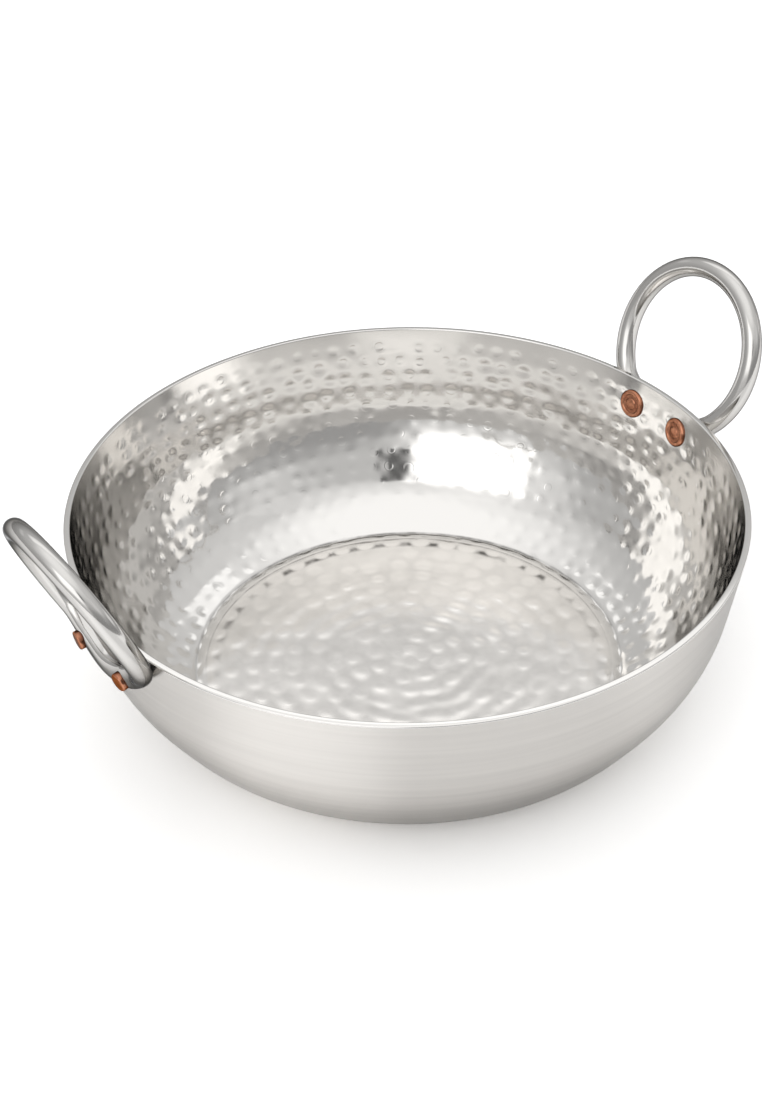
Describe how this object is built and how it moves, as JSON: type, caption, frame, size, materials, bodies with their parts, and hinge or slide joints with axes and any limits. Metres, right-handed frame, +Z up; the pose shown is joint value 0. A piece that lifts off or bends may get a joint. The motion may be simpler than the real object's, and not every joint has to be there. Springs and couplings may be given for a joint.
{
  "type": "kadai pan",
  "caption": "Round hammered steel kadai with a flat floor, flared wall and upright riveted ring handles of round rod.",
  "frame": {"origin": "centre of the flat base, on the surface that the pan stands on", "axes": "+Z up, +X and -X towards the ring handles, +Y across them"},
  "size_m": [0.3152, 0.2598, 0.1302],
  "materials": {
    "hammered_steel": "hammered, bright inside and satin outside",
    "polished_rod": "polished rod",
    "copper": "turned copper"
  },
  "bodies": {
    "root": {"bowl": "hammered_steel", "handle_right": "polished_rod", "handle_left": "polished_rod", "rivet_right_front": "copper", "rivet_right_back": "copper", "rivet_left_front": "copper", "rivet_left_back": "copper"}
  },
  "joints": []
}
